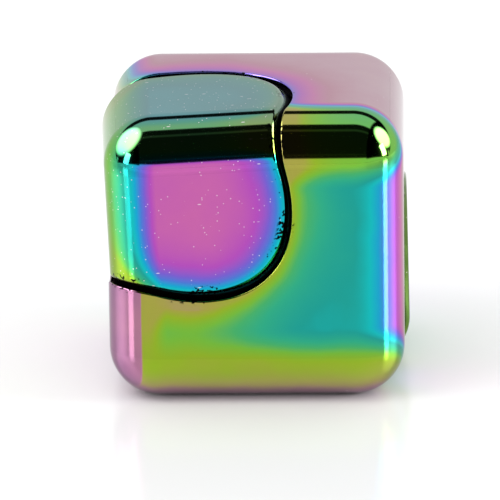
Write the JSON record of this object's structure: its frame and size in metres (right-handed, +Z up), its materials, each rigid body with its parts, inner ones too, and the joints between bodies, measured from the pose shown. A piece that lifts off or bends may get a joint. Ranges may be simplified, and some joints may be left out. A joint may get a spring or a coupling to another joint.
{
  "type": "fidget cube spinner",
  "caption": "Palm-sized metal cube that spins about its body diagonal while two opposite corner caps are pinched between finger and thumb.",
  "frame": {"origin": "centre of the cube body's bottom face, on the surface that the cube stands on", "axes": "+X right and +Y to the back as the cube is seen from its front, +Z up; the spin axis is the body diagonal towards the upper, left, front corner, (-1, -1, 1)"},
  "size_m": [0.0261, 0.0256, 0.0252],
  "materials": {
    "body_coating": "mirror-polished zinc alloy with a rainbow vapour coating, teal to green and violet at the edges",
    "cap_coating": "mirror-polished zinc alloy with a rainbow vapour coating, violet to cyan and green at the edges",
    "bearing_steel": "ground and polished bearing steel",
    "pressed_steel": "pressed stainless sheet, satin",
    "spring_steel": "black oxide spring steel",
    "plated_steel": "zinc-plated turned steel"
  },
  "bodies": {
    "cube_body": {"cube_body": "body_coating", "bearing_outer_ring": "bearing_steel", "upper_shield": "pressed_steel", "lower_shield": "pressed_steel", "upper_shield_clip": "spring_steel", "lower_shield_clip": "spring_steel", "bearing_circlip": "spring_steel"},
    "grip": {"upper_corner_cap": "cap_coating", "lower_corner_cap": "cap_coating", "tie_stud": "plated_steel", "axle_bush": "plated_steel", "upper_spacer": "plated_steel", "lower_spacer": "plated_steel", "bearing_inner_ring": "bearing_steel"},
    "ball_cage": {"ball_cage": "pressed_steel"},
    "ball_01": {"ball_01": "bearing_steel"},
    "ball_02": {"ball_02": "bearing_steel"},
    "ball_03": {"ball_03": "bearing_steel"},
    "ball_04": {"ball_04": "bearing_steel"},
    "ball_05": {"ball_05": "bearing_steel"},
    "ball_06": {"ball_06": "bearing_steel"},
    "ball_07": {"ball_07": "bearing_steel"},
    "ball_08": {"ball_08": "bearing_steel"},
    "ball_09": {"ball_09": "bearing_steel"},
    "ball_10": {"ball_10": "bearing_steel"}
  },
  "joints": [
    {"name": "grip_spin", "type": "hinge", "parent": "cube_body", "child": "grip", "pos_m": [0, 0, 0.0125], "axis": [-0.5774, -0.5774, 0.5774], "continuous": true},
    {"name": "cage_orbit", "type": "hinge", "parent": "cube_body", "child": "ball_cage", "pos_m": [0, 0, 0.0125], "axis": [-0.5774, -0.5774, 0.5774], "continuous": true},
    {"name": "ball_01_roll", "type": "hinge", "parent": "ball_cage", "child": "ball_01", "pos_m": [0.00337, -0.00337, 0.0125], "axis": [-0.5774, -0.5774, 0.5774], "continuous": true},
    {"name": "ball_02_roll", "type": "hinge", "parent": "ball_cage", "child": "ball_02", "pos_m": [0.00387, -0.00158, 0.01479], "axis": [-0.5774, -0.5774, 0.5774], "continuous": true},
    {"name": "ball_03_roll", "type": "hinge", "parent": "ball_cage", "child": "ball_03", "pos_m": [0.00289, 0.00081, 0.0162], "axis": [-0.5774, -0.5774, 0.5774], "continuous": true},
    {"name": "ball_04_roll", "type": "hinge", "parent": "ball_cage", "child": "ball_04", "pos_m": [0.00081, 0.00289, 0.0162], "axis": [-0.5774, -0.5774, 0.5774], "continuous": true},
    {"name": "ball_05_roll", "type": "hinge", "parent": "ball_cage", "child": "ball_05", "pos_m": [-0.00158, 0.00387, 0.01479], "axis": [-0.5774, -0.5774, 0.5774], "continuous": true},
    {"name": "ball_06_roll", "type": "hinge", "parent": "ball_cage", "child": "ball_06", "pos_m": [-0.00337, 0.00337, 0.0125], "axis": [-0.5774, -0.5774, 0.5774], "continuous": true},
    {"name": "ball_07_roll", "type": "hinge", "parent": "ball_cage", "child": "ball_07", "pos_m": [-0.00387, 0.00158, 0.01021], "axis": [-0.5774, -0.5774, 0.5774], "continuous": true},
    {"name": "ball_08_roll", "type": "hinge", "parent": "ball_cage", "child": "ball_08", "pos_m": [-0.00289, -0.00081, 0.0088], "axis": [-0.5774, -0.5774, 0.5774], "continuous": true},
    {"name": "ball_09_roll", "type": "hinge", "parent": "ball_cage", "child": "ball_09", "pos_m": [-0.00081, -0.00289, 0.0088], "axis": [-0.5774, -0.5774, 0.5774], "continuous": true},
    {"name": "ball_10_roll", "type": "hinge", "parent": "ball_cage", "child": "ball_10", "pos_m": [0.00158, -0.00387, 0.01021], "axis": [-0.5774, -0.5774, 0.5774], "continuous": true}
  ],
  "couplings": [
    {"joint": "cage_orbit", "follows": "grip_spin", "ratio": 0.41664},
    {"joint": "ball_01_roll", "follows": "grip_spin", "ratio": -2.9157},
    {"joint": "ball_02_roll", "follows": "grip_spin", "ratio": -2.9157},
    {"joint": "ball_03_roll", "follows": "grip_spin", "ratio": -2.9157},
    {"joint": "ball_04_roll", "follows": "grip_spin", "ratio": -2.9157},
    {"joint": "ball_05_roll", "follows": "grip_spin", "ratio": -2.9157},
    {"joint": "ball_06_roll", "follows": "grip_spin", "ratio": -2.9157},
    {"joint": "ball_07_roll", "follows": "grip_spin", "ratio": -2.9157},
    {"joint": "ball_08_roll", "follows": "grip_spin", "ratio": -2.9157},
    {"joint": "ball_09_roll", "follows": "grip_spin", "ratio": -2.9157},
    {"joint": "ball_10_roll", "follows": "grip_spin", "ratio": -2.9157}
  ]
}
